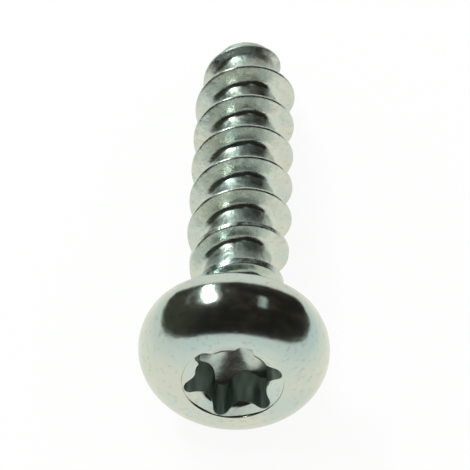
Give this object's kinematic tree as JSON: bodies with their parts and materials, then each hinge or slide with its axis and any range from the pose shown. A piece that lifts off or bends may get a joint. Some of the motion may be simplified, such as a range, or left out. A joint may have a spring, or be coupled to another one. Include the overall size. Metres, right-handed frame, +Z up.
{
  "type": "thread-forming screw",
  "caption": "Pan head screw with a hexalobular recess, a coarse narrow-flank thread and a blunt tip, bright zinc-plated, lying on its side",
  "frame": {"origin": "Centre of the underside of the lying screw's bounding box, on the floor it lies on.", "axes": "+Z up. +Y along the shank from the head to the tip, which lies a little lower than the head's middle. X across."},
  "size_m": [0.0088, 0.023, 0.0088],
  "materials": {
    "zinc_plated_steel": "bright zinc plating, clear passivated"
  },
  "bodies": {
    "root": {"screw": "zinc_plated_steel"}
  },
  "joints": []
}
